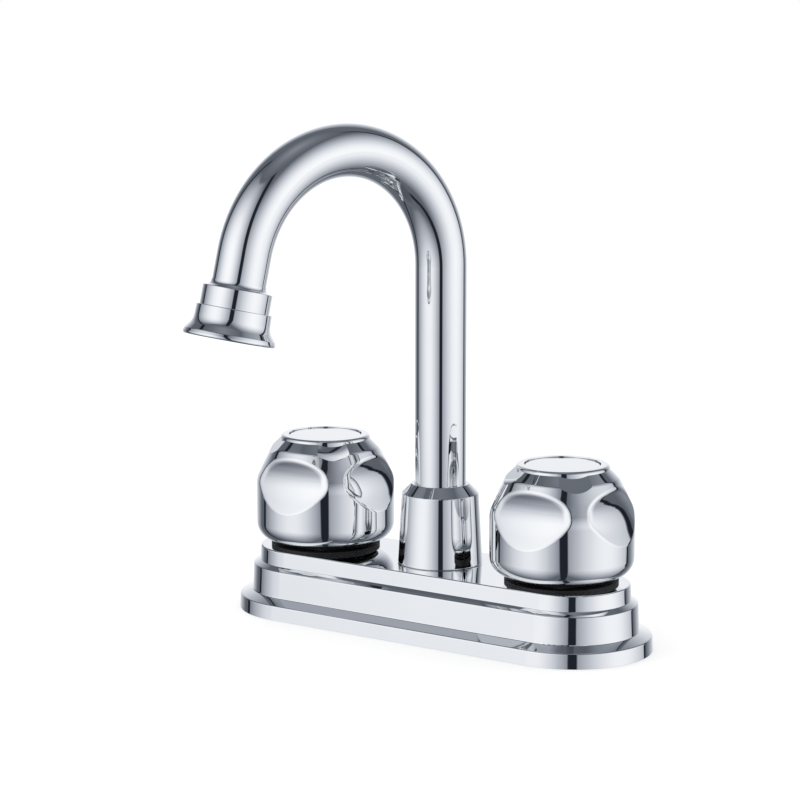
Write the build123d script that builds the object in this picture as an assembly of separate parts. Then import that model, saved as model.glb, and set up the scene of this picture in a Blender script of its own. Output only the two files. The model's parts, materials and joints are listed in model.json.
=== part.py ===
from build123d import *
from math import cos, pi, radians, sin, tan
import os

# Two-handle basin mixer tap on a stepped base, with a swivelling bent-tube spout.
# Millimetres. The origin is the centre of the face that lies on the deck, +Z points up,
# -Y points to the user, the hot side is at -X and the cold side at +X.

# Centres, deck and fits
CENTRES = 101.6             # between the two handle axes, the four-inch standard
DECK_THICKNESS = 15.0       # deck between the gasket and the washers
SEAM = 0.3                  # gap between pieces that only lie beside each other
RUNNING_FIT = 0.05          # play of a shaft, disc or ring that turns
THREAD_FIT = 0.03           # play drawn between a thread and its nut, or a plug and its socket

# Base cover, three steps from the deck up
END_REACH = 32.6            # base beyond each handle axis
BASE_WIDTH = 58.0
STEP_2_WIDTH = 48.3
STEP_3_WIDTH = 42.5
STEP_1_TOP = 5.2
STEP_2_FOOT = 6.9
STEP_2_TOP = 16.6
STEP_3_FOOT = 18.0
COVER_TOP = 23.5
STEP_DRAFT = 2.5            # degrees that the steps' faces lean in
COVER_WALL = 2.2
STEP_EDGE_RADIUS = 0.6
STEP_ROOT_RADIUS = 0.4
GASKET_THICKNESS = 1.6

# Waterway casting
TOWER_DIAMETER = 26.0
TOWER_RISE = 4.5            # tower above the cover's top
TOWER_FOOT_DIAMETER = 38.0
TOWER_FOOT_HEIGHT = 4.0
TOWER_FOOT_EDGE = 1.0
TOWER_FOOT_FILLET = 1.5
TOWER_EDGE = 0.5
VALVE_THREAD_DIAMETER = 20.96
VALVE_THREAD_LENGTH = 7.0
VALVE_CHAMBER_DIAMETER = 19.4
SEAT_HEIGHT = 7.6           # the seal's seat above the deck
INLET_BORE = 11.0
CROSS_TUBE_DIAMETER = 13.0
CROSS_TUBE_BORE = 8.0
CROSS_TUBE_HEIGHT = 13.4
CENTRE_TOWER_RISE = 15.5    # above the cover's top
SPIGOT_BORE = 16.0
SPIGOT_BORE_DEPTH = 17.0

# Shanks and what clamps them under the deck
SHANK_DIAMETER = 20.96
SHANK_BORE = 12.5
SHANK_LENGTH = 52.0         # below the deck face
SHANK_CHAMFER = 1.2
SHANK_TAIL = 20.0           # free thread at the foot, for the supply pipe's nut
SHANK_RELIEF = 0.8          # depth of the undercut between the two threads
SHANK_PLUG_DIAMETER = 17.0
SHANK_PLUG_LENGTH = 3.4
WASHER_DIAMETER = 44.0
WASHER_THICKNESS = 1.5
LOCK_NUT_FLANGE_DIAMETER = 42.0
LOCK_NUT_FLANGE = 3.0
LOCK_NUT_DIAMETER = 32.0
LOCK_NUT_TAPER = 1.5
LOCK_NUT_HEIGHT = 13.0
LOCK_NUT_EDGE = 0.8
LOCK_NUT_WINGS = 4
WING_WIDTH = 4.0
WING_REACH = 25.5
WING_DROP = 1.5             # wing ends this far above the nut's foot

# Flanged black nut that clamps the cover on each valve tower
BONNET_NUT_FLATS = 30.0
BONNET_NUT_HEIGHT = 4.2
BONNET_NUT_CHAMFER = 1.2
BONNET_FLANGE_DIAMETER = 40.0
BONNET_FLANGE = 1.1
HEX_SIDES = 6

# Quarter-turn cartridge
HOUSING_FOOT_GAP = 0.6      # barrel above the seal's seat
HOUSING_BARREL_DIAMETER = 18.6
HOUSING_BORE = 15.8
HOUSING_FLATS = 23.0
HOUSING_HEX_HEIGHT = 4.6
HOUSING_NECK_DIAMETER = 13.0
WINDOW_WIDTH = 8.0
WINDOW_HEIGHT = 4.2
SEAT_SEAL_HEIGHT = 2.0
SEAT_SEAL_BORE = 10.6
DISC_THICKNESS = 2.6
PORT_RADIUS = 5.8
PORT_ROOT = 1.5
PORT_ANGLE = 76.0           # degrees, two ports a disc
STEM_FLANGE_HEIGHT = 3.0
STEM_DIAMETER = 9.0
STEM_KEY_WIDTH = 2.6
STEM_KEY_LENGTH = 12.0
STEM_KEY_DEPTH = 1.2
SPLINE_DIAMETER = 8.0
SPLINE_LENGTH = 12.7
SPLINE_TEETH = 20
SPLINE_DEPTH = 0.35
SPLINE_GAP = 0.6
STEM_SEAL_SECTION = 1.5
STEM_SEAL_DEPTH = 4.5       # below the top of the housing's neck

# Knob, with its heights measured from its own underside
KNOB_GAP = 2.6              # underside above the cover
KNOB_DIAMETER = 50.6
KNOB_HEIGHT = 39.0
KNOB_FOOT_RADIUS = 6.5
KNOB_WALL_HEIGHT = 22.9     # where the wall turns into the cone
KNOB_SHOULDER_RADIUS = 9.0
KNOB_NECK_HEIGHT = 34.4     # head of the cone
KNOB_NECK_DIAMETER = 39.2
KNOB_NECK_RADIUS = 3.0
KNOB_CROWN_HEIGHT = 38.0    # head of the steeper cone, inside the rim
KNOB_CROWN_DIAMETER = 32.0
KNOB_RIM_DIAMETER = 32.8
KNOB_RIM_RADIUS = 1.2
KNOB_SKIRT_WALL = 6.6
KNOB_SKIRT_HEIGHT = 10.0
KNOB_CAVITY_DIAMETER = 28.0  # head of the hollow inside
KNOB_CAVITY_HEIGHT = 27.4
KNOB_CAVITY_RADIUS = 2.5    # rounds its two inner corners
KNOB_BOSS_DIAMETER = 15.0
KNOB_WEB = 5.0              # metal between the stem's socket and the screw's seat
SCOOPS = 4
SCOOP_FOOT_HEIGHT = 12.9    # where a scoop leaves the wall
SCOOP_LEAN = 21.0           # degrees that its floor leans in
SCOOP_FLOOR_HEIGHT = 25.9   # where the floor turns into the hollow head
SCOOP_HEAD_RADIUS = 7.0
SCOOP_PLAN_RADIUS = 75.0    # swell of the floor in plan
SCOOP_EDGE_RADIUS = 2.0
FACET_DISTANCE = 15.2       # facet's head from the knob's axis
FACET_LEAN = 44.0           # degrees that it leans in, over each ridge between two scoops

# Index disc and the screw under it
INDEX_DIAMETER = 26.2
INDEX_GAP = 0.2
INDEX_THICKNESS = 2.0
INDEX_RECESS = 2.4
INDEX_WELL = 3.3            # from the disc's seat down to the screw's seat
INDEX_EDGE = 0.4
INDEX_PLUG_DIAMETER = 11.0
INDEX_PLUG_BORE = 9.0
INDEX_PLUG_LENGTH = 1.6
SCREW_DIAMETER = 4.0
SCREW_HEAD_DIAMETER = 7.6
SCREW_HEAD_HEIGHT = 2.6
SCREW_GRIP = 7.0            # thread held in the stem
SCREW_SOCKET_FLATS = 2.5
SCREW_SOCKET_DEPTH = 1.6

# Spout hub, with its heights measured from the cover's top
HUB_TAPER = 1.45            # foot's radius beyond the shoulder's
HUB_SHOULDER_WALL = 1.77    # shoulder beyond the centre tower
HUB_SHOULDER_HEIGHT = 25.4
HUB_TOP_WALL = 1.1          # around the tube
HUB_HEIGHT = 29.0
HUB_EDGE_RADIUS = 0.5

# Spout tube
TUBE_DIAMETER = 18.3
TUBE_WALL = 1.2
BEND_RADIUS = 42.4          # centre line
BEND_ANGLE = 166.9
BEND_START = 130.8          # height where the bend starts
OUTLET_RUN = 11.8           # straight tube from the bend to the first collar
TUBE_SOCKET = 4.5           # tube inside the ferrule
SPOUT_TURN = -17.9          # degrees about +Z from straight ahead, as photographed

# Spigot in the foot of the spout
INSERT_FLANGE_REACH = 1.65  # flange beyond the tube's outside
INSERT_FLANGE = 2.2
INSERT_PLUG_LENGTH = 9.0
INSERT_BORE = 10.5
INSERT_SPIGOT_LENGTH = 15.5
SPOUT_SEAL_SECTION = 1.6
SPOUT_SEAL_DEPTHS = (5.0, 11.5)  # below the insert's flange
RETAINER_HEIGHT = 2.6
RETAINER_WIDTH = 2.75
RETAINER_SPLIT = 2.0

# Outlet fittings, measured down the outlet's axis
COLLAR_1_WALL = 2.65        # beyond the tube's outside
COLLAR_1_LENGTH = 6.7
COLLAR_1_FILLET = 2.1       # hollow fillet up to the tube
COLLAR_1_FILLET_EDGE = 0.15
COLLAR_2_STEP = 0.95        # beyond the first collar
COLLAR_2_TAPER = 0.2        # foot's radius beyond its head's
COLLAR_2_LENGTH = 5.4
FLARE_LENGTH = 3.2
FLARE_REACH = 2.45          # beyond the second collar's foot
FLARE_RADIUS = 5.0
LIP_REACH = 0.3             # beyond the flare
LIP_LENGTH = 2.0
LIP_EDGE = 0.7
LIP_LEDGE = 1.0             # holds the aerator's insert in from below
COLLAR_EDGE = 0.3
OUTLET_THREAD_WALL = 1.35   # beyond the tube's outside
OUTLET_THREAD_LENGTH = 4.4
AERATOR_WASHER = 1.0
AERATOR_STEP = 0.7          # insert's radius inside the thread's
AERATOR_LENGTH = 4.2
AERATOR_HOLE = 1.6
AERATOR_HOLES = (1, 6, 12)  # in each ring, from the middle out
AERATOR_RING_STEP = 3.2

# Places that follow from the sizes above
HANDLE_X = CENTRES / 2
END_X = HANDLE_X + END_REACH - BASE_WIDTH / 2
TOWER_TOP = COVER_TOP + TOWER_RISE
LOCK_NUT_TOP = -DECK_THICKNESS - WASHER_THICKNESS
LOCK_NUT_FOOT = LOCK_NUT_TOP - LOCK_NUT_HEIGHT
FIXED_DISC_FOOT = SEAT_HEIGHT + SEAT_SEAL_HEIGHT
MOVING_DISC_FOOT = FIXED_DISC_FOOT + DISC_THICKNESS
STEM_FOOT = MOVING_DISC_FOOT + DISC_THICKNESS
STEM_FLANGE_TOP = STEM_FOOT + STEM_FLANGE_HEIGHT
KNOB_FOOT = COVER_TOP + KNOB_GAP
KNOB_TOP = KNOB_FOOT + KNOB_HEIGHT
INDEX_SEAT = KNOB_TOP - INDEX_RECESS
SCREW_SEAT = INDEX_SEAT - INDEX_WELL
STEM_TOP = SCREW_SEAT - KNOB_WEB - SEAM
SPLINE_FOOT = STEM_TOP - SPLINE_LENGTH
HOUSING_NECK_TOP = SPLINE_FOOT - SEAM
STEM_SEAL_HEIGHT = HOUSING_NECK_TOP - STEM_SEAL_DEPTH
CENTRE_TOWER_TOP = COVER_TOP + CENTRE_TOWER_RISE
SPIGOT_BORE_FOOT = CENTRE_TOWER_TOP - SPIGOT_BORE_DEPTH
FLANGE_FOOT = CENTRE_TOWER_TOP + RUNNING_FIT
FLANGE_TOP = FLANGE_FOOT + INSERT_FLANGE
INSERT_FOOT = FLANGE_FOOT - INSERT_SPIGOT_LENGTH
SPOUT_SEAL_HEIGHTS = [FLANGE_FOOT - depth for depth in SPOUT_SEAL_DEPTHS]
RETAINER_FOOT = FLANGE_TOP + RUNNING_FIT
RETAINER_TOP = RETAINER_FOOT + RETAINER_HEIGHT
TUBE_BORE = TUBE_DIAMETER - 2 * TUBE_WALL
INSERT_FLANGE_DIAMETER = TUBE_DIAMETER + 2 * INSERT_FLANGE_REACH
RETAINER_BORE = TUBE_DIAMETER + 2 * RUNNING_FIT
CENTRE_TOWER_DIAMETER = RETAINER_BORE + 2 * (RETAINER_WIDTH + THREAD_FIT)
HUB_SHOULDER_DIAMETER = CENTRE_TOWER_DIAMETER + 2 * HUB_SHOULDER_WALL
HUB_FOOT_DIAMETER = HUB_SHOULDER_DIAMETER + 2 * HUB_TAPER
HUB_TOP_DIAMETER = RETAINER_BORE + 2 * HUB_TOP_WALL
HUB_SHOULDER = COVER_TOP + HUB_SHOULDER_HEIGHT
HUB_TOP = COVER_TOP + HUB_HEIGHT
OUTLET_TILT = 180 - BEND_ANGLE
COLLAR_1_DIAMETER = TUBE_DIAMETER + 2 * COLLAR_1_WALL
COLLAR_2_DIAMETER = COLLAR_1_DIAMETER + 2 * COLLAR_2_STEP
COLLAR_2_FOOT_DIAMETER = COLLAR_2_DIAMETER + 2 * COLLAR_2_TAPER
FLARE_DIAMETER = COLLAR_2_FOOT_DIAMETER + 2 * FLARE_REACH
LIP_DIAMETER = FLARE_DIAMETER + 2 * LIP_REACH
OUTLET_THREAD_DIAMETER = TUBE_DIAMETER + 2 * OUTLET_THREAD_WALL
AERATOR_DIAMETER = OUTLET_THREAD_DIAMETER - 2 * AERATOR_STEP
LIP_OPENING = AERATOR_DIAMETER - 2 * LIP_LEDGE
OVERCUT = 1.0               # a cutting tool's reach past the face it opens
SIDES = {"hot": -1, "cold": 1}


# Shapes shared by several pieces
def rod(diameter, foot, top):
    """Upright cylinder between two heights, on the Z axis."""
    base = (Align.CENTER, Align.CENTER, Align.MIN)
    return Pos(0, 0, foot) * Cylinder(diameter / 2, top - foot, align=base)


def ring(outer, inner, foot, top):
    """Upright tube between two heights, on the Z axis."""
    return rod(outer, foot, top) - rod(inner, foot - OVERCUT, top + OVERCUT)


def hexagon(flats, foot, top):
    """Upright hexagonal prism between two heights, on the Z axis."""
    return Pos(0, 0, foot) * extrude(RegularPolygon(flats / 2, HEX_SIDES, major_radius=False), amount=top - foot)


def profile(points, radii):
    """Face in the XZ plane through (radius, height) points, closed along the Z axis.

    radii rounds each point between the first and the last, and 0 keeps it sharp."""
    outline = FilletPolyline(*[(r, 0, z) for r, z in points], radius=radii)
    (first_r, first_z), (last_r, last_z) = points[0], points[-1]
    closing = Line((last_r, 0, last_z), (first_r, 0, first_z))
    return make_face([*outline.edges(), *closing.edges()])


def turned(points, radii):
    """Solid of revolution about the Z axis."""
    return revolve(profile(points, radii), axis=Axis.Z)


def stadium(points, radii):
    """Long base form: one profile turned about each end and drawn along X between them."""
    face = profile(points, radii)
    end = revolve(face, axis=Axis.Z)
    side = extrude(Pos(-END_X, 0, 0) * Rot(0, 0, 90) * face, amount=2 * END_X, dir=(1, 0, 0))
    middle = side + mirror(side, about=Plane.XZ)
    return middle + Pos(-END_X, 0, 0) * end + Pos(END_X, 0, 0) * end


def o_ring(outer, section, height):
    """Round-section ring whose outside diameter is given."""
    return Pos(0, 0, height) * Torus(outer / 2 - section / 2, section / 2)


def groove(outer, section, height):
    """Tool that cuts an o_ring's groove in a rod of that outside diameter."""
    half = section / 2 + RUNNING_FIT
    return ring(outer + 2 * OVERCUT, outer - 2 * section, height - half, height + half)


def sector(radius, root, angle, foot, top):
    """Wedge of a disc about +X, from the root radius out."""
    reach = 2 * radius
    half = radians(angle / 2)
    corner = (reach * cos(half), reach * sin(half))
    wedge = make_face(Polyline((0, 0), (corner[0], -corner[1]), corner, close=True).edges())
    block = Pos(0, 0, foot) * extrude(wedge, amount=top - foot)
    return block & ring(2 * radius, 2 * root, foot, top)


# Base
def step_radius(width, rise):
    """Half width of a step at a height above its foot, with the draft taken off."""
    return width / 2 - rise * sin(radians(STEP_DRAFT))


def base_cover():
    head_1 = step_radius(BASE_WIDTH, STEP_1_TOP)
    head_2 = step_radius(STEP_2_WIDTH, STEP_2_TOP - STEP_2_FOOT)
    head_3 = step_radius(STEP_3_WIDTH, COVER_TOP - STEP_3_FOOT)
    corners = [
        (BASE_WIDTH / 2, 0), (head_1, STEP_1_TOP),
        (STEP_2_WIDTH / 2, STEP_2_FOOT), (head_2, STEP_2_TOP),
        (STEP_3_WIDTH / 2, STEP_3_FOOT), (head_3, COVER_TOP),
    ]
    edge, root = STEP_EDGE_RADIUS, STEP_ROOT_RADIUS
    cover = stadium([(0, 0), *corners, (0, COVER_TOP)], [0, edge, root, edge, root, edge])
    inner = [(r - COVER_WALL, z - COVER_WALL) for r, z in corners]
    ceiling = COVER_TOP - COVER_WALL
    cover -= stadium([(0, -COVER_WALL), *inner, (0, ceiling)], [0] * len(inner))
    for side in SIDES.values():
        hole = rod(TOWER_DIAMETER + 2 * SEAM, STEP_3_FOOT, COVER_TOP + OVERCUT)
        cover -= Pos(side * HANDLE_X, 0, 0) * hole
    return cover - rod(CENTRE_TOWER_DIAMETER + 2 * SEAM, STEP_3_FOOT, COVER_TOP + OVERCUT)


def deck_gasket():
    radius = BASE_WIDTH / 2 - COVER_WALL - 2 * SEAM
    pad = stadium([(0, 0), (radius, 0), (radius, GASKET_THICKNESS), (0, GASKET_THICKNESS)], [0, 0])
    for side in SIDES.values():
        hole = rod(SHANK_DIAMETER + 2 * SEAM, -OVERCUT, GASKET_THICKNESS + OVERCUT)
        pad -= Pos(side * HANDLE_X, 0, 0) * hole
    return pad


# Waterway
def tower(diameter, top):
    """One upright of the casting, with its round foot."""
    foot = GASKET_THICKNESS
    step = foot + TOWER_FOOT_HEIGHT
    pad = TOWER_FOOT_DIAMETER / 2
    return turned(
        [(0, foot), (pad, foot), (pad, step), (diameter / 2, step), (diameter / 2, top), (0, top)],
        [0, TOWER_FOOT_EDGE, TOWER_FOOT_FILLET, TOWER_EDGE])


def cross_rod(diameter):
    """Rod along X between the two valve axes."""
    return Pos(0, 0, CROSS_TUBE_HEIGHT) * Rot(0, 90, 0) * Cylinder(diameter / 2, CENTRES)


def waterway_body():
    thread_foot = TOWER_TOP - VALVE_THREAD_LENGTH
    plug_top = GASKET_THICKNESS + SHANK_PLUG_LENGTH
    body = tower(CENTRE_TOWER_DIAMETER, CENTRE_TOWER_TOP) + cross_rod(CROSS_TUBE_DIAMETER)
    for side in SIDES.values():
        body += Pos(side * HANDLE_X, 0, 0) * tower(TOWER_DIAMETER, TOWER_TOP)
    body -= cross_rod(CROSS_TUBE_BORE)
    body -= rod(INSERT_BORE, CROSS_TUBE_HEIGHT, SPIGOT_BORE_FOOT + OVERCUT)
    body -= rod(SPIGOT_BORE, SPIGOT_BORE_FOOT, CENTRE_TOWER_TOP + OVERCUT)
    valve_bores = (
        rod(SHANK_PLUG_DIAMETER, GASKET_THICKNESS - OVERCUT, plug_top)
        + rod(INLET_BORE, plug_top - OVERCUT, SEAT_HEIGHT + OVERCUT)
        + rod(VALVE_CHAMBER_DIAMETER, SEAT_HEIGHT, thread_foot + OVERCUT)
        + rod(VALVE_THREAD_DIAMETER, thread_foot, TOWER_TOP + OVERCUT))
    for side in SIDES.values():
        body -= Pos(side * HANDLE_X, 0, 0) * valve_bores
    return body


def shank():
    """Threaded inlet tube with the plug that goes up into the casting."""
    foot = -SHANK_LENGTH
    shoulder = GASKET_THICKNESS
    plug_top = shoulder + SHANK_PLUG_LENGTH
    radius = SHANK_DIAMETER / 2
    plug = SHANK_PLUG_DIAMETER / 2 - THREAD_FIT
    body = turned(
        [(0, foot), (radius - SHANK_CHAMFER, foot), (radius, foot + SHANK_CHAMFER),
         (radius, shoulder), (plug, shoulder), (plug, plug_top), (0, plug_top)],
        [0, 0, 0, 0, 0])
    relief_foot = foot + SHANK_CHAMFER + SHANK_TAIL
    waist = SHANK_DIAMETER - 2 * SHANK_RELIEF
    body -= ring(SHANK_DIAMETER + OVERCUT, waist, relief_foot, LOCK_NUT_FOOT)
    body -= rod(SHANK_BORE, foot - OVERCUT, shoulder)
    return body - rod(INLET_BORE, shoulder - OVERCUT, plug_top + OVERCUT)


def deck_washer():
    top = -DECK_THICKNESS
    return ring(WASHER_DIAMETER, SHANK_DIAMETER + 2 * SEAM, top - WASHER_THICKNESS, top)


def lock_nut():
    """Flanged wing nut that is turned by hand under the basin."""
    top, foot = LOCK_NUT_TOP, LOCK_NUT_FOOT
    flange_foot = top - LOCK_NUT_FLANGE
    flange, barrel = LOCK_NUT_FLANGE_DIAMETER / 2, LOCK_NUT_DIAMETER / 2
    nut = turned(
        [(0, top), (flange, top), (flange, flange_foot), (barrel, flange_foot),
         (barrel - LOCK_NUT_TAPER, foot), (0, foot)],
        [LOCK_NUT_EDGE, LOCK_NUT_EDGE, LOCK_NUT_EDGE, LOCK_NUT_EDGE])
    height = flange_foot - foot - WING_DROP
    base = (Align.MIN, Align.CENTER, Align.MAX)
    wing = Pos(0, 0, flange_foot) * Box(WING_REACH, WING_WIDTH, height, align=base)
    for turn in range(LOCK_NUT_WINGS):
        nut += Rot(0, 0, 360 / LOCK_NUT_WINGS * (turn + 0.5)) * wing
    return nut - rod(SHANK_DIAMETER + 2 * THREAD_FIT, foot - OVERCUT, top + OVERCUT)


def bonnet_nut():
    """Six-sided nut with a wide flange that clamps the cover on a valve tower."""
    foot = COVER_TOP
    top = foot + BONNET_NUT_HEIGHT
    corner = BONNET_NUT_FLATS / 2 / cos(pi / HEX_SIDES)
    cone = turned(
        [(0, foot), (corner, foot), (corner, top - BONNET_NUT_CHAMFER / 2),
         (corner - BONNET_NUT_CHAMFER, top), (0, top)],
        [0, 0, 0])
    nut = (hexagon(BONNET_NUT_FLATS, foot, top) & cone) + rod(BONNET_FLANGE_DIAMETER, foot, foot + BONNET_FLANGE)
    return nut - rod(TOWER_DIAMETER + 2 * THREAD_FIT, foot - OVERCUT, top + OVERCUT)


# Cartridge
def valve_housing():
    """Brass cartridge body: barrel with two windows, thread, hexagon and neck."""
    foot = SEAT_HEIGHT + HOUSING_FOOT_GAP
    thread_foot = TOWER_TOP - VALVE_THREAD_LENGTH
    hex_top = TOWER_TOP + HOUSING_HEX_HEIGHT
    bore_top = STEM_FLANGE_TOP + SEAM
    body = rod(HOUSING_BARREL_DIAMETER, foot, thread_foot)
    body += rod(VALVE_THREAD_DIAMETER - 2 * THREAD_FIT, thread_foot, TOWER_TOP)
    body += hexagon(HOUSING_FLATS, TOWER_TOP, hex_top)
    body += rod(HOUSING_NECK_DIAMETER, hex_top, HOUSING_NECK_TOP)
    window = Box(WINDOW_WIDTH, 2 * HOUSING_BARREL_DIAMETER, WINDOW_HEIGHT)
    body -= Pos(0, 0, CROSS_TUBE_HEIGHT) * Rot(0, 0, 90) * window
    body -= rod(HOUSING_BORE, foot - OVERCUT, bore_top)
    return body - rod(STEM_DIAMETER + 2 * RUNNING_FIT, bore_top - OVERCUT, HOUSING_NECK_TOP + OVERCUT)


def seat_seal():
    outer = HOUSING_BORE - 2 * THREAD_FIT
    return ring(outer, SEAT_SEAL_BORE, SEAT_HEIGHT, SEAT_HEIGHT + SEAT_SEAL_HEIGHT)


def ceramic_disc(foot, port_turn, play):
    """Ceramic disc with two opposite ports."""
    top = foot + DISC_THICKNESS
    disc = rod(HOUSING_BORE - 2 * play, foot, top)
    port = sector(PORT_RADIUS, PORT_ROOT, PORT_ANGLE, foot - OVERCUT, top + OVERCUT)
    for turn in (port_turn, port_turn + 180):
        disc -= Rot(0, 0, turn) * port
    return disc


def stem_key(play):
    """Bar under the stem's flange that turns the moving disc."""
    length, width = STEM_KEY_LENGTH + 2 * play, STEM_KEY_WIDTH + 2 * play
    base = (Align.CENTER, Align.CENTER, Align.MAX)
    return Pos(0, 0, STEM_FOOT) * Box(width, length, STEM_KEY_DEPTH + play, align=base)


def fixed_disc():
    return ceramic_disc(FIXED_DISC_FOOT, 90, THREAD_FIT)


def moving_disc():
    return ceramic_disc(MOVING_DISC_FOOT, 0, RUNNING_FIT) - stem_key(THREAD_FIT)


def valve_stem():
    """Stem with its flange, seal groove, splined head and tapped hole."""
    stem = rod(HOUSING_BORE - 2 * RUNNING_FIT, STEM_FOOT, STEM_FLANGE_TOP) + stem_key(0)
    stem += rod(STEM_DIAMETER, STEM_FLANGE_TOP, SPLINE_FOOT)
    stem += rod(SPLINE_DIAMETER, SPLINE_FOOT, STEM_TOP)
    stem -= groove(STEM_DIAMETER, STEM_SEAL_SECTION, STEM_SEAL_HEIGHT)
    length = STEM_TOP - SPLINE_FOOT + OVERCUT
    base = (Align.MIN, Align.CENTER, Align.MIN)
    slot = Box(OVERCUT, SPLINE_GAP, length, align=base)
    gap = Pos(SPLINE_DIAMETER / 2 - SPLINE_DEPTH, 0, SPLINE_FOOT) * slot
    stem -= [Rot(0, 0, 360 / SPLINE_TEETH * tooth) * gap for tooth in range(SPLINE_TEETH)]
    return stem - rod(SCREW_DIAMETER + 2 * THREAD_FIT, STEM_TOP - SCREW_GRIP - OVERCUT, STEM_TOP + OVERCUT)


def stem_seal():
    return o_ring(STEM_DIAMETER, STEM_SEAL_SECTION, STEM_SEAL_HEIGHT)


# Handle
def scoop_tool():
    """Cutter for the scoop that faces +X, turned about an upright axis far behind it.

    From the foot up its face leans in and then curls out in a hollow arc, so that the
    scoop's head overhangs. The far axis gives the floor its slight swell in plan."""
    lean = radians(SCOOP_LEAN)
    foot_r, foot_z = KNOB_DIAMETER / 2, KNOB_FOOT + SCOOP_FOOT_HEIGHT
    floor_z = KNOB_FOOT + SCOOP_FLOOR_HEIGHT
    floor_r = foot_r - (floor_z - foot_z) * tan(lean)
    centre_r = floor_r + SCOOP_HEAD_RADIUS * cos(lean)
    centre_z = floor_z + SCOOP_HEAD_RADIUS * sin(lean)
    below_r, below_z = foot_r + OVERCUT, foot_z - OVERCUT / tan(lean)
    back = centre_r + SCOOP_HEAD_RADIUS
    floor = Line((below_r, 0, below_z), (floor_r, 0, floor_z))
    head = ThreePointArc(
        (floor_r, 0, floor_z), (centre_r - SCOOP_HEAD_RADIUS, 0, centre_z),
        (centre_r, 0, centre_z + SCOOP_HEAD_RADIUS))
    rest = Polyline((head @ 1), (back, 0, centre_z + SCOOP_HEAD_RADIUS), (back, 0, below_z), (floor @ 0))
    face = make_face([*floor.edges(), *head.edges(), *rest.edges()])
    axis = Axis((floor_r - SCOOP_PLAN_RADIUS, 0, 0), (0, 0, 1))
    return revolve(face, axis=axis)


def facet_tool():
    """Block that cuts the leaning facet over the ridge that faces +X."""
    place = Pos(FACET_DISTANCE, 0, KNOB_FOOT + KNOB_CROWN_HEIGHT) * Rot(0, -FACET_LEAN, 0)
    base = (Align.MIN, Align.CENTER, Align.CENTER)
    return place * Box(KNOB_DIAMETER, KNOB_DIAMETER, 2 * KNOB_DIAMETER, align=base)


def knob():
    """Hollow cast knob: a turned body with four leaning scoops, and a facet on each ridge."""
    recess = INDEX_DIAMETER / 2 + INDEX_GAP
    wall, neck, rim = KNOB_DIAMETER / 2, KNOB_NECK_DIAMETER / 2, KNOB_RIM_DIAMETER / 2
    crown = KNOB_FOOT + KNOB_CROWN_HEIGHT
    body = turned(
        [(0, crown), (KNOB_CROWN_DIAMETER / 2, crown), (neck, KNOB_FOOT + KNOB_NECK_HEIGHT),
         (wall, KNOB_FOOT + KNOB_WALL_HEIGHT), (wall, KNOB_FOOT), (0, KNOB_FOOT)],
        [0, KNOB_NECK_RADIUS, KNOB_SHOULDER_RADIUS, KNOB_FOOT_RADIUS])
    tool, facet = scoop_tool(), facet_tool()
    body -= [Rot(0, 0, 360 / SCOOPS * turn) * tool for turn in range(SCOOPS)]
    scoop_edges = body.edges().filter_by(GeomType.BSPLINE)  # all other edges are circles and lines
    body = fillet(scoop_edges, SCOOP_EDGE_RADIUS)
    body -= [Rot(0, 0, 360 / SCOOPS * (turn + 0.5)) * facet for turn in range(SCOOPS)]
    body += turned(
        [(0, crown - KNOB_RIM_RADIUS), (rim, crown - KNOB_RIM_RADIUS), (rim, KNOB_TOP), (0, KNOB_TOP)],
        [0, KNOB_RIM_RADIUS])
    body -= rod(2 * recess, INDEX_SEAT, KNOB_TOP + OVERCUT)
    skirt, head = wall - KNOB_SKIRT_WALL, KNOB_CAVITY_DIAMETER / 2
    cavity_foot, cavity_top = KNOB_FOOT - OVERCUT, KNOB_FOOT + KNOB_CAVITY_HEIGHT
    cavity = turned(
        [(0, cavity_foot), (skirt, cavity_foot), (skirt, KNOB_FOOT + KNOB_SKIRT_HEIGHT),
         (head, cavity_top), (0, cavity_top)],
        [0, KNOB_CAVITY_RADIUS, KNOB_CAVITY_RADIUS])
    boss_foot = SPLINE_FOOT + SEAM
    body -= cavity - rod(KNOB_BOSS_DIAMETER, boss_foot, cavity_top + OVERCUT)
    body -= rod(SPLINE_DIAMETER + 2 * THREAD_FIT, boss_foot - OVERCUT, STEM_TOP + SEAM)
    body -= rod(SCREW_DIAMETER + 2 * SEAM, STEM_TOP, SCREW_SEAT + OVERCUT)
    return body - rod(INDEX_PLUG_DIAMETER + 2 * THREAD_FIT, SCREW_SEAT, INDEX_SEAT + OVERCUT)


def knob_screw():
    top = SCREW_SEAT + SCREW_HEAD_HEIGHT
    screw = rod(SCREW_DIAMETER, STEM_TOP - SCREW_GRIP, SCREW_SEAT)
    screw += rod(SCREW_HEAD_DIAMETER, SCREW_SEAT, top)
    return screw - hexagon(SCREW_SOCKET_FLATS, top - SCREW_SOCKET_DEPTH, top + OVERCUT)


def index_disc():
    radius = INDEX_DIAMETER / 2
    top = INDEX_SEAT + INDEX_THICKNESS
    disc = turned(
        [(0, INDEX_SEAT), (radius, INDEX_SEAT), (radius, top), (0, top)], [0, INDEX_EDGE])
    return disc + ring(INDEX_PLUG_DIAMETER, INDEX_PLUG_BORE, INDEX_SEAT - INDEX_PLUG_LENGTH, INDEX_SEAT)


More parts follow.
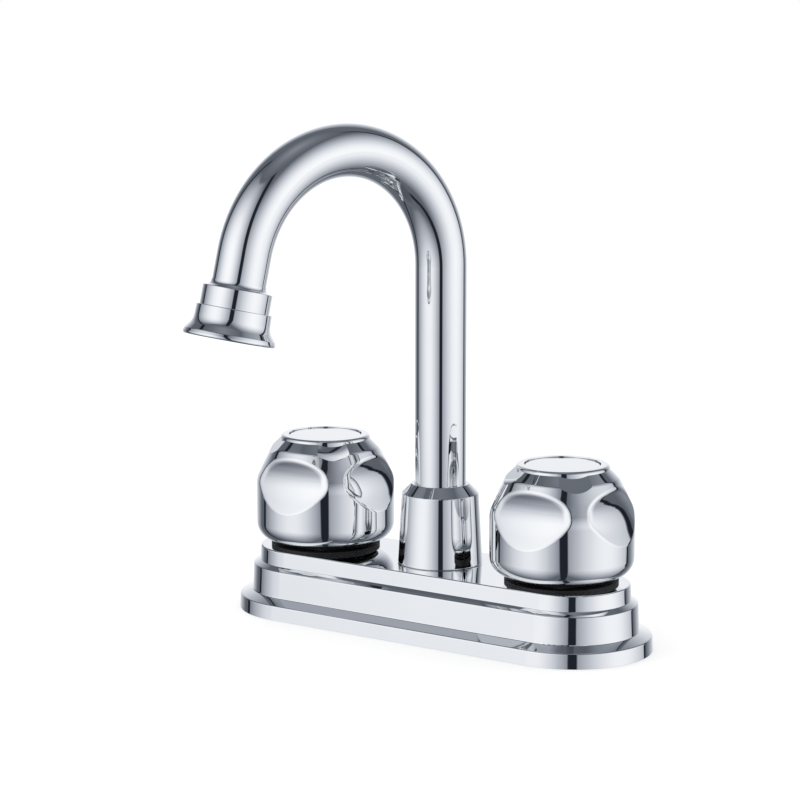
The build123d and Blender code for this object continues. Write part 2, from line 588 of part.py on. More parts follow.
# Spout
def spout_hub():
    """Chromed nut over the centre tower, tapered, with a chamfered head."""
    body = turned(
        [(0, COVER_TOP), (HUB_FOOT_DIAMETER / 2, COVER_TOP), (HUB_SHOULDER_DIAMETER / 2, HUB_SHOULDER),
         (HUB_TOP_DIAMETER / 2, HUB_TOP), (0, HUB_TOP)],
        [HUB_EDGE_RADIUS, HUB_EDGE_RADIUS, HUB_EDGE_RADIUS])
    body -= rod(CENTRE_TOWER_DIAMETER + 2 * THREAD_FIT, COVER_TOP - OVERCUT, RETAINER_TOP)
    return body - rod(TUBE_DIAMETER + 2 * RUNNING_FIT, RETAINER_TOP - OVERCUT, HUB_TOP + OVERCUT)


def spout_insert():
    """Brass spigot that turns in the centre tower, with a flange that the hub traps."""
    plug = TUBE_BORE - 2 * THREAD_FIT
    spigot = SPIGOT_BORE - 2 * RUNNING_FIT
    body = rod(spigot, INSERT_FOOT, FLANGE_FOOT)
    body += rod(INSERT_FLANGE_DIAMETER, FLANGE_FOOT, FLANGE_TOP)
    body += rod(plug, FLANGE_TOP, FLANGE_TOP + INSERT_PLUG_LENGTH)
    for height in SPOUT_SEAL_HEIGHTS:
        body -= groove(spigot, SPOUT_SEAL_SECTION, height)
    return body - rod(INSERT_BORE, INSERT_FOOT - OVERCUT, FLANGE_TOP + INSERT_PLUG_LENGTH + OVERCUT)


def spout_seals():
    """The spigot's two O-rings."""
    spigot = SPIGOT_BORE - 2 * RUNNING_FIT
    return Compound([o_ring(spigot, SPOUT_SEAL_SECTION, height) for height in SPOUT_SEAL_HEIGHTS])


def spout_retainer():
    """Split nylon ring between the spigot's flange and the hub."""
    outer = RETAINER_BORE + 2 * RETAINER_WIDTH
    split = Pos(outer / 2, 0, RETAINER_FOOT) * Box(outer, RETAINER_SPLIT, 4 * RETAINER_HEIGHT)
    return ring(outer, RETAINER_BORE, RETAINER_FOOT, RETAINER_TOP) - split


def spout_place():
    """Location of the first collar's head: the outlet's axis runs down its own -Z."""
    bend, tilt = radians(BEND_ANGLE), radians(OUTLET_TILT)
    reach = BEND_RADIUS * (1 - cos(bend)) + OUTLET_RUN * sin(tilt)
    height = BEND_START + BEND_RADIUS * sin(bend) - OUTLET_RUN * cos(tilt)
    return Rot(0, 0, SPOUT_TURN) * Pos(0, -reach, height) * Rot(-OUTLET_TILT, 0, 0)


def spout_tube():
    """Round tube: upright, bent forwards over BEND_ANGLE, straight into the ferrule."""
    rise = Line((0, 0, FLANGE_TOP), (0, 0, BEND_START))
    bend = CenterArc((0, 0, 0), BEND_RADIUS, 0, BEND_ANGLE)
    bend = Pos(0, -BEND_RADIUS, BEND_START) * Rot(0, 0, 90) * Rot(90, 0, 0) * bend
    run = Line(bend @ 1, (bend @ 1) + (bend % 1) * (OUTLET_RUN + TUBE_SOCKET))
    path = Wire([*rise.edges(), *bend.edges(), *run.edges()])
    section = Pos(0, 0, FLANGE_TOP) * (Circle(TUBE_DIAMETER / 2) - Circle(TUBE_BORE / 2))
    return Rot(0, 0, SPOUT_TURN) * sweep(section, path=path)


def outlet_ferrule():
    """First collar, brazed on the tube, with the thread for the aerator's housing."""
    socket = TUBE_DIAMETER / 2 + THREAD_FIT
    neck = socket + COLLAR_1_FILLET_EDGE
    collar = COLLAR_1_DIAMETER / 2
    thread = OUTLET_THREAD_DIAMETER / 2
    thread_foot = -COLLAR_1_LENGTH - OUTLET_THREAD_LENGTH
    body = turned(
        [(0, COLLAR_1_FILLET), (neck, COLLAR_1_FILLET), (neck, 0), (collar, 0),
         (collar, -COLLAR_1_LENGTH), (thread, -COLLAR_1_LENGTH), (thread, thread_foot), (0, thread_foot)],
        [0, COLLAR_1_FILLET - COLLAR_1_FILLET_EDGE, COLLAR_EDGE, 0, 0, COLLAR_EDGE])
    body -= rod(2 * socket, -TUBE_SOCKET, COLLAR_1_FILLET + OVERCUT)
    return body - rod(TUBE_BORE, thread_foot - OVERCUT, -TUBE_SOCKET + OVERCUT)


def aerator_foot():
    """Depth of the aerator insert's lower face on the outlet's axis."""
    return COLLAR_1_LENGTH + OUTLET_THREAD_LENGTH + AERATOR_WASHER + AERATOR_LENGTH


def aerator_housing():
    """Second collar with the flared lip, screwed over the ferrule's thread."""
    head = -COLLAR_1_LENGTH
    flare_head = head - COLLAR_2_LENGTH
    lip_head = flare_head - FLARE_LENGTH
    foot = lip_head - LIP_LENGTH
    washer_foot = head - OUTLET_THREAD_LENGTH - AERATOR_WASHER
    body = turned(
        [(0, head), (COLLAR_2_DIAMETER / 2, head), (COLLAR_2_FOOT_DIAMETER / 2, flare_head),
         (FLARE_DIAMETER / 2, lip_head), (LIP_DIAMETER / 2, (lip_head + foot) / 2),
         (LIP_DIAMETER / 2, foot), (0, foot)],
        [COLLAR_EDGE, FLARE_RADIUS, LIP_EDGE, LIP_EDGE, LIP_EDGE])
    body -= rod(OUTLET_THREAD_DIAMETER + 2 * THREAD_FIT, washer_foot, head + OVERCUT)
    body -= rod(AERATOR_DIAMETER + 2 * THREAD_FIT, -aerator_foot(), washer_foot + OVERCUT)
    return body - rod(LIP_OPENING, foot - OVERCUT, -aerator_foot() + OVERCUT)


def aerator_washer():
    top = -COLLAR_1_LENGTH - OUTLET_THREAD_LENGTH
    outer = OUTLET_THREAD_DIAMETER - 2 * THREAD_FIT
    return ring(outer, TUBE_BORE, top - AERATOR_WASHER, top)


def aerator_insert():
    """Flow straightener: a plug with rings of round holes."""
    foot = -aerator_foot()
    top = foot + AERATOR_LENGTH
    plug = rod(AERATOR_DIAMETER, foot, top)
    hole = rod(AERATOR_HOLE, foot - OVERCUT, top + OVERCUT)
    holes = [Rot(0, 0, 360 / count * turn) * Pos(step * AERATOR_RING_STEP, 0, 0) * hole
             for step, count in enumerate(AERATOR_HOLES) for turn in range(count)]
    return plug - holes


def write(name, solid):
    export_step(solid, f"parts/{name}.step")


os.makedirs("parts", exist_ok=True)

# Pieces on the centre line
write("base_cover", base_cover())
write("deck_gasket", deck_gasket())
write("waterway_body", waterway_body())
write("spout_hub", spout_hub())
write("spout_retainer", spout_retainer())
write("spout_insert", spout_insert())
write("spout_seals", spout_seals())
write("spout_tube", spout_tube())

# Pieces on the outlet's axis
OUTLET_PIECES = {
    "outlet_ferrule": outlet_ferrule,
    "aerator_housing": aerator_housing,
    "aerator_washer": aerator_washer,
    "aerator_insert": aerator_insert,
}
for name, make in OUTLET_PIECES.items():
    write(name, spout_place() * make())

# Pieces that each handle has
HANDLE_PIECES = {
    "shank": shank,
    "deck_washer": deck_washer,
    "lock_nut": lock_nut,
    "bonnet_nut": bonnet_nut,
    "valve_housing": valve_housing,
    "seat_seal": seat_seal,
    "fixed_disc": fixed_disc,
    "moving_disc": moving_disc,
    "valve_stem": valve_stem,
    "stem_seal": stem_seal,
    "knob": knob,
    "knob_screw": knob_screw,
    "index_disc": index_disc,
}
for name, make in HANDLE_PIECES.items():
    piece = make()
    for side, sign in SIDES.items():
        write(f"{side}_{name}", Pos(sign * HANDLE_X, 0, 0) * piece)
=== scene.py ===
import json
from functools import partial
from math import cos, pi, radians, sin

import bpy
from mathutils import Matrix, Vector


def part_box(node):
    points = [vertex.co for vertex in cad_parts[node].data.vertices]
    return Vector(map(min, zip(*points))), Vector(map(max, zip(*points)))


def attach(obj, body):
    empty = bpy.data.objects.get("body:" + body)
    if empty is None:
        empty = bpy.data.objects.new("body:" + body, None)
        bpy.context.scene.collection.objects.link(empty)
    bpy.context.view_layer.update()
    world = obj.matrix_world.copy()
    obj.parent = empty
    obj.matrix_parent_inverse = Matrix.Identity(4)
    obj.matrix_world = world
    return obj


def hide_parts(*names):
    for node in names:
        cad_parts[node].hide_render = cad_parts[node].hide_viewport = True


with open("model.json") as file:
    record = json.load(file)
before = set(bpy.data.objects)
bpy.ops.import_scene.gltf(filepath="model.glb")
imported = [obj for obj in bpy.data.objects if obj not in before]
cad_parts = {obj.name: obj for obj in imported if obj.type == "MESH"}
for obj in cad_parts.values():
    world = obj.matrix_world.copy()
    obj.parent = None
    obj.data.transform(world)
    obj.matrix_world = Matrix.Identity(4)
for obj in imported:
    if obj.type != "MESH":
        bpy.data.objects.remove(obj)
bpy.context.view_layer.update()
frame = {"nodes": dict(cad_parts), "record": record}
nodes = frame["nodes"]
slot_of = {part["node"]: part["material_slot"] for part in frame["record"]["subparts"]}

# Lengths are in metres and angles in degrees. Azimuths run from -Y towards +X.

# Camera, fitted to the photograph's outlines
CAMERA_AZIMUTH = 33.609
CAMERA_DISTANCE = 0.930
CAMERA_HEIGHT = 0.24318
CAMERA_YAW = 0.889          # how far it looks past the object's axis
CAMERA_PITCH = 9.810        # how far it looks down
CAMERA_LENS = 119.364       # millimetres
SENSOR_WIDTH = 36.0         # millimetres

# The knobs' turned outline, as in the CAD: a cylinder with a cone on top. Heights are above the
# knob's foot, and the two knobs mirror each other.
knob_low, knob_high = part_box("cold_knob")
KNOB_CENTRE = (knob_low.x + knob_high.x) / 2    # from the middle of the base to the knob's axis
KNOB_FOOT = knob_low.z
KNOB_RADIUS = (knob_high.x - knob_low.x) / 2
KNOB_TOP = knob_high.z - knob_low.z
CONE_FOOT = 0.0229
CONE_SLOPE = 0.4957         # radius lost over height

# The chrome of a knob leans its normals down in the overhanging heads of the scoops. It does so
# inside the turned outline alone, from the first of these depths and in full from the second.
HOLLOW_DEPTHS = (0.0003, 0.0012)
HEAD_LEAN = [               # height and lean
    (0.0, 0.0), (0.0165, 0.0), (0.0190, 0.08), (0.0212, 0.20), (0.0233, 0.31), (0.0246, 0.39),
    (0.0260, 0.48), (0.0270, 0.465), (0.0284, 0.36), (0.0300, 0.24), (0.0325, 0.0), (KNOB_TOP, 0.0),
]

# The inlet shanks' 1/2 inch pipe thread, which the CAD draws as a plain cylinder
THREAD_DEPTH = 0.00110
THREAD_PITCH = 0.001814
THREAD_RUN_OUT = 0.0008     # the thread fades in and out over this length
THREAD_STEPS = 10           # rings in one turn of the thread
THREAD_SIDES = 96
GROOVE_GAIN = 1.3           # steepness of the flanks
GROOVE_LOSS = 0.15          # more of it widens the crest
FREE_THREAD = (-0.0508, -0.0308)    # foot and head, above the deck
CLAMPED_THREAD = (-0.0295, 0.0014)

# The rest of a shank, from its foot to the spigot in the casting
TIP_STEP = 0.0001           # how far the foot's edge lies inside the thread's root
NECK = (-0.0306, -0.0297)   # between the two threads
NECK_RADIUS = 0.00968
SHOULDER = 0.0016
SPIGOT_EDGE = 0.0047        # foot of the spigot's chamfer
SPIGOT_RADIUS = 0.00847
SPIGOT_TIP_RADIUS = 0.0082
SPIGOT_BORE_RADIUS = 0.0055
BORE_RADIUS = 0.00625

SMOOTH_BELOW = 38           # edges sharper than this stay sharp
BUMP_HEIGHT = 0.0001
NOISE_RANGE = (0.3, 0.7)    # where a noise's values mostly lie

# Floor and lamp
FLOOR_SIZE = 12.0
FLOOR_DROP = 0.0001         # keeps the floor clear of the gasket
FLOOR_SHADE = 0.62
FLOOR_GLOW = 0.45           # lifts the floor to white in the picture
LAMP_PLACE = (-0.6, -0.5, 1.1)
LAMP_TARGET = (0.0, 0.0, 0.06)
LAMP_SIZE = 0.7
LAMP_POWER = 2.0

# What the chrome mirrors: three soft boxes stand round the object, with dark gaps between them,
# a dim ceiling above and a dim floor below. Levels are as the eye sees them, from 0 black to 1
# white. A box is brightest at its centre's azimuth on the horizon. Each fade is the level lost
# at that edge, and a higher hold keeps the loss back until nearer the edge.
BOXES = [
    dict(left=-84.5, centre=-19.0, right=28.3, level=0.99, fade_left=0.42, fade_right=0.37,
         top=60.5, fade_up=0.42, hold_up=3.4, foot=-63.5, fade_down=0.50, hold_down=1.3),
    dict(left=41.0, centre=106.0, right=155.5, level=0.99, fade_left=0.34, fade_right=0.21,
         top=62.0, fade_up=0.58, hold_up=2.0, foot=-67.0, fade_down=0.57, hold_down=1.6),
    dict(left=163.0, centre=214.0, right=263.5, level=0.97, fade_left=0.50, fade_right=0.60,
         top=46.5, fade_up=0.45, hold_up=2.0, foot=-44.0, fade_down=0.45, hold_down=1.6),
]
HOLD_ASIDE = 2.0
BETWEEN = 0.40              # level behind the boxes
DARKEST_LIT = 0.38          # no box fades below this

# Azimuth of each gap's middle, its reach to each side, and its level. The later ones lie over the
# earlier ones, and the narrowest draw the thin dark lines beside the rims.
GAPS = [
    (34.5, 12.0, 0.14),
    (-90.5, 12.0, 0.37),
    (-87.8, 3.2, 0.12),
    (159.2, 5.0, 0.37),
    (157.4, 2.8, 0.12),
]

# Elevations of the ceiling's lower edge and the floor's upper edge, and their levels
CEILING_FOOT = 60.0
CEILING_LEVEL = 0.37        # at its foot
CEILING_RISE = 0.18 / 30    # level gained per degree above that
FLOOR_TOP = -72.0
FLOOR_LEVEL = 0.34

# Degrees over which each edge blends
SOFT_GAP = 1.0
SOFT_SIDE = 2.0
SOFT_TOP = 3.0
SOFT_FOOT = 6.0
SOFT_CEILING = 4.0
SOFT_FLOOR = 6.0

# Linear colour of each level, a little blue between black and white
LEVEL_COLOURS = [
    (0.0, (0.0, 0.0, 0.0)),
    (0.15, (0.016, 0.019, 0.027)),
    (0.3, (0.062, 0.070, 0.089)),
    (0.45, (0.155, 0.171, 0.200)),
    (0.6, (0.300, 0.322, 0.367)),
    (0.75, (0.510, 0.535, 0.590)),
    (0.88, (0.765, 0.785, 0.830)),
    (1.0, (1.06, 1.07, 1.085)),
]
WHITE = (1.0, 1.0, 1.0, 1.0)


# Helpers for shader nodes
def add(tree, kind, **properties):
    """New node with its properties set."""
    node = tree.nodes.new(kind)
    for name, value in properties.items():
        setattr(node, name, value)
    return node


def maths(tree, operation, *values, clamp=False):
    """Result of a maths node, whose values are numbers or other nodes' outputs."""
    node = add(tree, "ShaderNodeMath", operation=operation, use_clamp=clamp)
    for place, value in enumerate(values):
        if isinstance(value, (int, float)):
            node.inputs[place].default_value = value
        else:
            tree.links.new(value, node.inputs[place])
    return node.outputs[0]


def coordinates(tree, output):
    """The x, y and z of one of the texture coordinates."""
    place = add(tree, "ShaderNodeTexCoord")
    split = add(tree, "ShaderNodeSeparateXYZ")
    tree.links.new(place.outputs[output], split.inputs[0])
    return split.outputs


def noise(tree, scale, detail=3.0, roughness=0.55):
    """Noise that keeps to the piece when it moves."""
    place = add(tree, "ShaderNodeTexCoord")
    texture = add(tree, "ShaderNodeTexNoise")
    texture.inputs["Scale"].default_value = scale
    texture.inputs["Detail"].default_value = detail
    texture.inputs["Roughness"].default_value = roughness
    tree.links.new(place.outputs["Object"], texture.inputs["Vector"])
    return texture.outputs["Fac"]


def ramp(tree, source, stops):
    """Colour ramp over a value; stops are (place, colour)."""
    node = add(tree, "ShaderNodeValToRGB")
    elements = node.color_ramp.elements
    while len(elements) < len(stops):
        elements.new(0.5)
    for element, (place, colour) in zip(elements, stops):
        element.position = place
        element.color = (*colour, 1.0)
    tree.links.new(source, node.inputs["Fac"])
    return node.outputs["Color"]


def spread(tree, source, low, high, ends=NOISE_RANGE):
    """Value that runs from low to high while the source runs between its two ends."""
    node = add(tree, "ShaderNodeMapRange")
    node.inputs["From Min"].default_value = ends[0]
    node.inputs["From Max"].default_value = ends[1]
    node.inputs["To Min"].default_value = low
    node.inputs["To Max"].default_value = high
    tree.links.new(source, node.inputs["Value"])
    return node.outputs["Result"]


def curve(tree, source, points):
    """Smooth curve through (place, value) points, with places from 0 to 1."""
    node = add(tree, "ShaderNodeFloatCurve")
    made = node.mapping.curves[0].points
    for place, value in points[1:-1]:
        made.new(place, value)
    made[0].location = points[0]
    made[-1].location = points[-1]
    node.mapping.update()
    tree.links.new(source, node.inputs["Value"])
    return node.outputs[0]


def vector_maths(tree, operation, *vectors):
    """Result of a vector maths node over other nodes' outputs."""
    node = add(tree, "ShaderNodeVectorMath", operation=operation)
    for place, vector in enumerate(vectors):
        tree.links.new(vector, node.inputs[place])
    return node.outputs[0]


# Materials
def material(name):
    """New node material, its node tree and its shader."""
    made = bpy.data.materials.new(name)
    made.use_nodes = True
    tree = made.node_tree
    return made, tree, tree.nodes["Principled BSDF"]


def clouded(tree, shader, scale, dark, light, detail=3.0):
    """Base colour that drifts between dark and light."""
    stops = list(zip(NOISE_RANGE, (dark, light)))
    tree.links.new(ramp(tree, noise(tree, scale, detail), stops), shader.inputs["Base Color"])


def grained(tree, shader, scale, detail, rough, strength=0.0):
    """Roughness, and where strength is given a bump, that follow a fine grain."""
    grain = noise(tree, scale, detail)
    tree.links.new(spread(tree, grain, *rough), shader.inputs["Roughness"])
    if strength:
        bump = add(tree, "ShaderNodeBump")
        bump.inputs["Strength"].default_value = strength
        bump.inputs["Distance"].default_value = BUMP_HEIGHT
        tree.links.new(grain, bump.inputs["Height"])
        tree.links.new(bump.outputs["Normal"], shader.inputs["Normal"])


def chrome(name="polished_chrome"):
    """Polished chrome with a faint cloud in its colour and its gloss."""
    made, tree, shader = material(name)
    shader.inputs["Metallic"].default_value = 1.0
    clouded(tree, shader, 26.0, dark=(0.88, 0.89, 0.90), light=(0.92, 0.925, 0.93), detail=2.0)
    grained(tree, shader, 420.0, 4.0, rough=(0.012, 0.03))
    return made


def knob_chrome():
    """Chrome whose normals lean further down at the overhanging heads of a knob's scoops."""
    made = chrome("knob_chrome")
    tree = made.node_tree
    number = partial(maths, tree)
    x, y, z = coordinates(tree, "Object")
    aside = number("SUBTRACT", number("ABSOLUTE", x), KNOB_CENTRE)
    radius = number("SQRT", number("MULTIPLY_ADD", aside, aside, number("MULTIPLY", y, y)))
    height = number("SUBTRACT", z, KNOB_FOOT)
    cone = number("MULTIPLY_ADD", height, -CONE_SLOPE, KNOB_RADIUS + CONE_SLOPE * CONE_FOOT)
    depth = number("SUBTRACT", number("MINIMUM", cone, KNOB_RADIUS), radius)
    hollow = spread(tree, depth, 0.0, 1.0, HOLLOW_DEPTHS)
    stops = [(place / KNOB_TOP, value) for place, value in HEAD_LEAN]
    lean = curve(tree, number("DIVIDE", height, KNOB_TOP), stops)
    down = add(tree, "ShaderNodeCombineXYZ")
    tree.links.new(number("MULTIPLY", lean, hollow), down.inputs["Z"])
    shape = add(tree, "ShaderNodeNewGeometry")
    leaning = vector_maths(tree, "SUBTRACT", shape.outputs["Normal"], down.outputs[0])
    shader = tree.nodes["Principled BSDF"]
    tree.links.new(vector_maths(tree, "NORMALIZE", leaning), shader.inputs["Normal"])
    return made


def metal(name, dark, light, rough, grain, strength=0.15):
    """Cast or machined metal; rough is the range of its roughness."""
    made, tree, shader = material(name)
    shader.inputs["Metallic"].default_value = 1.0
    clouded(tree, shader, 180.0, dark, light)
    grained(tree, shader, grain, 5.0, rough, strength)
    return made


def plastic(name, dark, light, rough, grain, strength=0.1):
    """Plastic, rubber or ceramic; rough is the range of its roughness."""
    made, tree, shader = material(name)
    clouded(tree, shader, 90.0, dark, light)
    grained(tree, shader, grain, 4.0, rough, strength)
    return made


MATERIALS = {
    "chrome": chrome(),
    "brass": metal("machined_brass", dark=(0.62, 0.44, 0.20), light=(0.76, 0.58, 0.30),
                   rough=(0.22, 0.38), grain=900.0),
    "steel": metal("zinc_steel", dark=(0.52, 0.53, 0.55), light=(0.66, 0.67, 0.69),
                   rough=(0.28, 0.45), grain=700.0),
    "ceramic": plastic("lapped_ceramic", dark=(0.84, 0.83, 0.79), light=(0.92, 0.91, 0.88),
                       rough=(0.12, 0.22), grain=600.0, strength=0.03),
    "rubber": plastic("black_rubber", dark=(0.018, 0.018, 0.019), light=(0.04, 0.04, 0.042),
                      rough=(0.55, 0.75), grain=1200.0),
    "nylon": plastic("white_nylon", dark=(0.78, 0.77, 0.72), light=(0.86, 0.85, 0.81),
                     rough=(0.4, 0.55), grain=800.0),
    # Black moulding, darker than real black plastic: partly its own black, partly painted shade for the
    # narrow dark gap under the knobs.
    "dark_plastic": plastic("black_moulding_painted_shade", dark=(0.005, 0.005, 0.006), light=(0.011, 0.011, 0.013),
                            rough=(0.5, 0.66), grain=1500.0),
    "grey_plastic": plastic("grey_moulding", dark=(0.36, 0.37, 0.38), light=(0.48, 0.49, 0.50),
                            rough=(0.35, 0.5), grain=1200.0),
}
scooped = knob_chrome()
OWN_LOOKS = {
    "hot_knob": scooped,
    "cold_knob": scooped,
    "waterway_body": metal("cast_brass", dark=(0.50, 0.36, 0.18), light=(0.66, 0.50, 0.27),
                           rough=(0.42, 0.60), grain=420.0, strength=0.5),
}
for name, piece in nodes.items():
    piece.data.materials.clear()
    piece.data.materials.append(OWN_LOOKS.get(name, MATERIALS[slot_of[name]]))


# Inlet shanks. A ring is (height, radius, share of the thread's depth that is cut there).
def plain(rings):
    """Rings that the thread leaves alone."""
    return [(height, radius, 0.0) for height, radius in rings]


def thread_rings(crest, foot, head):
    """Rings of a threaded stretch, after the one at its foot."""
    count = round((head - foot) / THREAD_PITCH * THREAD_STEPS)
    rings = []
    for step in range(1, count):
        height = foot + (head - foot) * step / count
        cut = min(1.0, (height - foot) / THREAD_RUN_OUT, (head - height) / THREAD_RUN_OUT)
        rings.append((height, crest, cut))
    return rings + plain([(head, crest)])


def shank_rings(crest, foot, top):
    """Rings from the shank's foot up its outside, over the spigot and down the bore."""
    root = crest - THREAD_DEPTH
    rings = plain([(foot, root - TIP_STEP), (FREE_THREAD[0], crest)])
    rings += thread_rings(crest, *FREE_THREAD)
    rings += plain([(NECK[0], NECK_RADIUS), (NECK[1], NECK_RADIUS)])
    rings += thread_rings(crest, *CLAMPED_THREAD)
    rings += plain([
        (SHOULDER, root),
        (SHOULDER, SPIGOT_RADIUS),
        (SPIGOT_EDGE, SPIGOT_RADIUS),
        (top, SPIGOT_TIP_RADIUS),
        (top, SPIGOT_BORE_RADIUS),
        (SHOULDER, SPIGOT_BORE_RADIUS),
        (SHOULDER, BORE_RADIUS),
        (foot, BORE_RADIUS),
    ])
    return rings


def groove(height, share):
    """Share of the thread's depth that its helix takes at a height and a share of a turn."""
    wave = abs(2 * ((height / THREAD_PITCH - share) % 1.0) - 1)
    return min(1.0, max(0.0, GROOVE_GAIN * wave - GROOVE_LOSS))


def threaded_shank(side):
    """Inlet shank with its thread cut as a helix, in place of the CAD's plain cylinder."""
    low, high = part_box(f"{side}_shank")
    centre = (low.x + high.x) / 2
    rings = shank_rings((high.x - low.x) / 2, low.z, high.z)
    verts = []
    for height, radius, cut in rings:
        for here in range(THREAD_SIDES):
            share = here / THREAD_SIDES
            reach = radius - cut * THREAD_DEPTH * groove(height, share)
            angle = 2 * pi * share
            verts.append((centre + reach * cos(angle), reach * sin(angle), height))
    faces = []
    for ring in range(len(rings)):
        lower = ring * THREAD_SIDES
        upper = (ring + 1) % len(rings) * THREAD_SIDES
        for here in range(THREAD_SIDES):
            after = (here + 1) % THREAD_SIDES
            faces.append((lower + here, lower + after, upper + after, upper + here))
    name = f"{side}_threaded_shank"
    mesh = bpy.data.meshes.new(name)
    mesh.from_pydata(verts, [], faces)
    mesh.materials.append(MATERIALS["brass"])
    mesh.shade_smooth()
    mesh.set_sharp_from_angle(angle=radians(SMOOTH_BELOW))
    piece = bpy.data.objects.new(name, mesh)
    bpy.context.scene.collection.objects.link(piece)
    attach(piece, "base")
    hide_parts(f"{side}_shank")


threaded_shank("hot")
threaded_shank("cold")


# Studio
def floor():
    """White floor, which the camera sees and the chrome doesn't mirror."""
    bpy.ops.mesh.primitive_plane_add(size=FLOOR_SIZE, location=(0.0, 0.0, -FLOOR_DROP))
    piece = bpy.context.object
    piece.name = "studio_floor"
    made = bpy.data.materials.new("white_floor")
    made.use_nodes = True
    tree = made.node_tree
    tree.nodes.clear()
    matt = add(tree, "ShaderNodeBsdfDiffuse")
    matt.inputs["Color"].default_value = (FLOOR_SHADE, FLOOR_SHADE, FLOOR_SHADE, 1.0)
    glow = add(tree, "ShaderNodeEmission")
    glow.inputs["Color"].default_value = WHITE
    path = add(tree, "ShaderNodeLightPath")
    strength = maths(tree, "MULTIPLY", path.outputs["Is Camera Ray"], FLOOR_GLOW)
    tree.links.new(strength, glow.inputs["Strength"])
    both = add(tree, "ShaderNodeAddShader")
    tree.links.new(matt.outputs[0], both.inputs[0])
    tree.links.new(glow.outputs[0], both.inputs[1])
    out = add(tree, "ShaderNodeOutputMaterial")
    tree.links.new(both.outputs[0], out.inputs["Surface"])
    piece.data.materials.append(made)
    piece.visible_glossy = False


def mirrored_level(tree):
    """Level that the chrome mirrors in each direction."""
    number = partial(maths, tree)

    def step(value, edge, soft):
        """0 below the edge, 1 above it."""
        return number("MULTIPLY_ADD", value, 1 / soft, 0.5 - edge / soft, clamp=True)

    def blend(mask, low, high):
        """low where the mask is 0, high where it is 1."""
        return number("MULTIPLY_ADD", mask, number("SUBTRACT", high, low), low)

    def within(value, start, end, soft_start, soft_end):
        """1 between start and end, 0 outside."""
        return number("MULTIPLY", step(value, start, soft_start),
                      number("SUBTRACT", 1.0, step(value, end, soft_end)))

    def turned_from(middle):
        """Degrees from a middle azimuth, from -180 to 180."""
        return number("WRAP", number("SUBTRACT", azimuth, middle), 180.0, -180.0)

    def loss(distance, reach, hold, amount):
        """Level lost at a distance from the box's middle; amount is lost at its edge."""
        part = number("MAXIMUM", number("DIVIDE", distance, reach), 0.0)
        return number("MULTIPLY", number("POWER", part, hold), amount)

    x, y, z = coordinates(tree, "Generated")
    azimuth = number("MULTIPLY", number("ARCTAN2", x, number("MULTIPLY", y, -1.0)), 180 / pi)
    elevation = number("MULTIPLY", number("ARCSINE", z), 180 / pi)
    above = number("MAXIMUM", elevation, 0.0)
    below = number("MAXIMUM", number("MULTIPLY", elevation, -1.0), 0.0)

    level = BETWEEN
    for middle, reach, dark in GAPS:
        away = number("ABSOLUTE", turned_from(middle))
        near = number("SUBTRACT", 1.0, step(away, reach, SOFT_GAP))
        level = blend(near, level, dark)
    for box in BOXES:
        turned = turned_from(box["centre"])
        left = box["left"] - box["centre"]
        right = box["right"] - box["centre"]
        across = within(turned, left, right, SOFT_SIDE, SOFT_SIDE)
        upright = within(elevation, box["foot"], box["top"], SOFT_FOOT, SOFT_TOP)
        aside = number("ADD", loss(turned, left, HOLD_ASIDE, box["fade_left"]),
                       loss(turned, right, HOLD_ASIDE, box["fade_right"]))
        along = number("ADD", loss(above, box["top"], box["hold_up"], box["fade_up"]),
                       loss(below, -box["foot"], box["hold_down"], box["fade_down"]))
        lit = number("SUBTRACT", number("SUBTRACT", box["level"], aside), along)
        level = blend(number("MULTIPLY", across, upright), level, number("MAXIMUM", lit, DARKEST_LIT))
    ceiling = number("MULTIPLY_ADD", elevation, CEILING_RISE, CEILING_LEVEL - CEILING_FOOT * CEILING_RISE)
    level = blend(step(elevation, CEILING_FOOT, SOFT_CEILING), level, ceiling)
    return blend(step(elevation, FLOOR_TOP, SOFT_FLOOR), FLOOR_LEVEL, level)


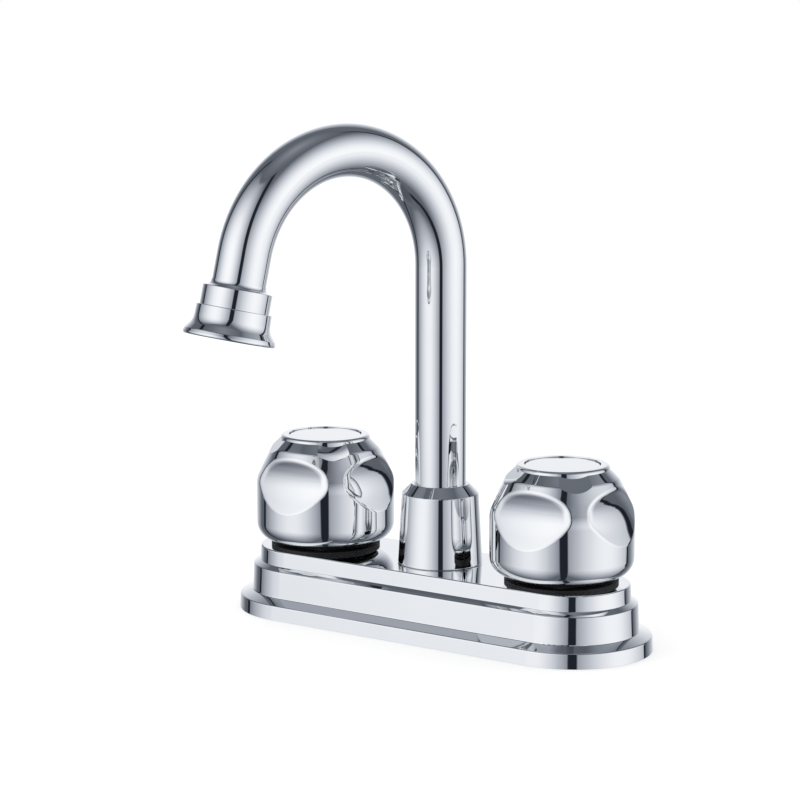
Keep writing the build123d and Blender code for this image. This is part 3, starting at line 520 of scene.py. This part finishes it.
def surround():
    """White world, in place of which the chrome mirrors the soft boxes."""
    world = bpy.data.worlds.new("studio")
    bpy.context.scene.world = world
    world.use_nodes = True
    tree = world.node_tree
    tree.nodes.clear()
    mirrored = add(tree, "ShaderNodeBackground")
    tree.links.new(ramp(tree, mirrored_level(tree), LEVEL_COLOURS), mirrored.inputs["Color"])
    plain = add(tree, "ShaderNodeBackground")
    plain.inputs["Color"].default_value = WHITE
    path = add(tree, "ShaderNodeLightPath")
    pick = add(tree, "ShaderNodeMixShader")
    tree.links.new(path.outputs["Is Glossy Ray"], pick.inputs[0])
    tree.links.new(plain.outputs[0], pick.inputs[1])
    tree.links.new(mirrored.outputs[0], pick.inputs[2])
    out = add(tree, "ShaderNodeOutputWorld")
    tree.links.new(pick.outputs[0], out.inputs["Surface"])


def key_lamp():
    """Soft square lamp, for the floor's shadow and the matt pieces."""
    data = bpy.data.lights.new("key_lamp", "AREA")
    data.shape = "SQUARE"
    data.size = LAMP_SIZE
    data.energy = LAMP_POWER
    piece = bpy.data.objects.new("key_lamp", data)
    bpy.context.scene.collection.objects.link(piece)
    piece.location = LAMP_PLACE
    aim = Vector(LAMP_TARGET) - Vector(LAMP_PLACE)
    piece.rotation_euler = aim.to_track_quat("-Z", "Y").to_euler()
    piece.visible_glossy = False
    piece.visible_camera = False


def photo_camera():
    """Camera that stands where the photograph was taken from."""
    azimuth = radians(CAMERA_AZIMUTH)
    camera = bpy.data.objects.new("camera", bpy.data.cameras.new("camera"))
    bpy.context.scene.collection.objects.link(camera)
    camera.data.sensor_width = SENSOR_WIDTH
    camera.data.sensor_fit = "HORIZONTAL"
    camera.data.lens = CAMERA_LENS
    camera.data.clip_start = 0.01
    camera.data.clip_end = 50.0
    camera.location = (CAMERA_DISTANCE * sin(azimuth), -CAMERA_DISTANCE * cos(azimuth), CAMERA_HEIGHT)
    camera.rotation_euler = (radians(90 - CAMERA_PITCH), 0.0, radians(CAMERA_AZIMUTH + CAMERA_YAW))
    bpy.context.scene.camera = camera


floor()
surround()
key_lamp()
photo_camera()
bpy.context.scene.view_settings.view_transform = "Standard"
